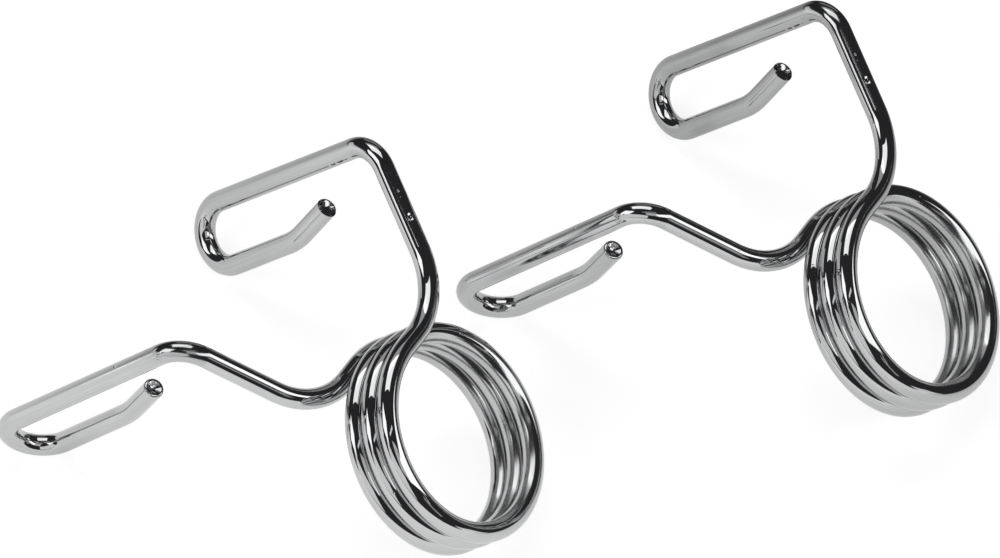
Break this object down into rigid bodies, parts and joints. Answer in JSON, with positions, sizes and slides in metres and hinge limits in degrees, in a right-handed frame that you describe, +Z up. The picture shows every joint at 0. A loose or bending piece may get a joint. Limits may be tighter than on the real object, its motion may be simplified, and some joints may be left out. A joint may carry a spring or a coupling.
{
  "type": "spring collar pair",
  "caption": "Pair of bare chromed wire spring collars for a weight bar: each a close coil with two bent squeeze levers that end in hooks.",
  "frame": {"origin": "on the floor, under the middle of the pair as it lies at rest", "axes": "+Z up; +X the way that the fronts of both coils face, along the floor; +Y across them, towards the right collar; each coil axis is in a plane parallel to XZ and leans 40.2 degrees from upright"},
  "size_m": [0.2396, 0.168, 0.0623],
  "materials": {
    "chrome_coil": "bright plated spring steel wire",
    "chrome_arm": "bright plated spring steel wire",
    "chrome_grip": "bright plated spring steel wire"
  },
  "bodies": {
    "coils": {"left_coil": "chrome_coil", "right_coil": "chrome_coil"},
    "left_front_lever": {"left_front_arm": "chrome_arm", "left_front_grip": "chrome_grip"},
    "left_rear_lever": {"left_rear_arm": "chrome_arm", "left_rear_grip": "chrome_grip"},
    "right_front_lever": {"right_front_arm": "chrome_arm", "right_front_grip": "chrome_grip"},
    "right_rear_lever": {"right_rear_arm": "chrome_arm", "right_rear_grip": "chrome_grip"}
  },
  "joints": [
    {"name": "left_front_squeeze", "type": "hinge", "parent": "coils", "child": "left_front_lever", "pos_m": [-0.00919, -0.05453, 0.02481], "axis": [0.6453, 0, 0.764], "range_deg": [0, 28], "stiffness_Nm_per_rad": 36.7, "deforming": ["left_coil"]},
    {"name": "left_rear_squeeze", "type": "hinge", "parent": "coils", "child": "left_rear_lever", "pos_m": [-0.00919, -0.05453, 0.02481], "axis": [-0.6453, 0, -0.764], "range_deg": [0, 28], "stiffness_Nm_per_rad": 36.7, "deforming": ["left_coil"]},
    {"name": "right_front_squeeze", "type": "hinge", "parent": "coils", "child": "right_front_lever", "pos_m": [0.09302, 0.01987, 0.02481], "axis": [0.6453, 0, 0.764], "range_deg": [0, 28], "stiffness_Nm_per_rad": 36.7, "deforming": ["right_coil"]},
    {"name": "right_rear_squeeze", "type": "hinge", "parent": "coils", "child": "right_rear_lever", "pos_m": [0.09302, 0.01987, 0.02481], "axis": [-0.6453, 0, -0.764], "range_deg": [0, 28], "stiffness_Nm_per_rad": 36.7, "deforming": ["right_coil"]}
  ],
  "couplings": [
    {"joint": "left_rear_squeeze", "follows": "left_front_squeeze", "ratio": 1},
    {"joint": "right_rear_squeeze", "follows": "right_front_squeeze", "ratio": 1}
  ]
}
